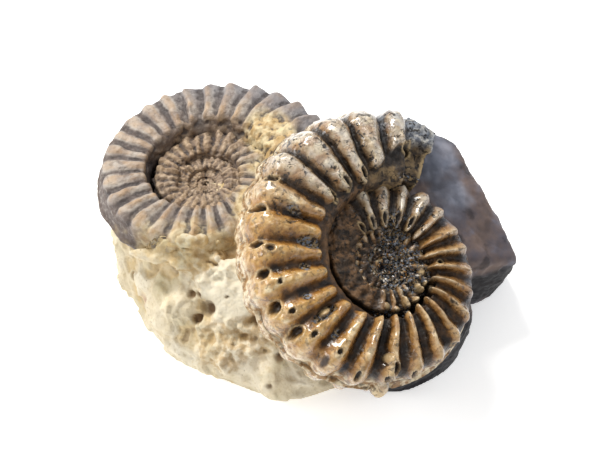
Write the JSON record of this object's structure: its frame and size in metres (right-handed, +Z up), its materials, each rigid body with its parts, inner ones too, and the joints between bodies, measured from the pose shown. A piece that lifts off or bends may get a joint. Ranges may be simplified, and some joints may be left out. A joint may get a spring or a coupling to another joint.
{
  "type": "ammonite fossil",
  "caption": "Hand specimen of ribbed, keeled ammonites: a glossy brown shell leans on a duller one held in pale limestone, beside a block of dark mudstone.",
  "frame": {"origin": "on the flat underside, below the place where the two ammonites meet", "axes": "+Z up from the flat underside; +X from the smaller ammonite towards the dark mudstone; +Y away from the side it is looked at from, where the larger ammonite's visible face leans down"},
  "size_m": [0.0921, 0.077, 0.0455],
  "materials": {
    "glossy_shell": "glossy ochre-brown mineralised shell with cream worn crests and near-black grooves and pits",
    "dull_shell": "matt taupe-grey mineralised shell with ochre rib edges and a rough brown middle",
    "limestone": "matt cream-beige limestone, lumpy, with an ochre band and small pits",
    "mudstone": "smooth dark grey-brown mudstone with blue-grey edges"
  },
  "bodies": {
    "root": {"front_ammonite": "glossy_shell", "rear_ammonite": "dull_shell", "pale_limestone": "limestone", "dark_mudstone": "mudstone"}
  },
  "joints": []
}
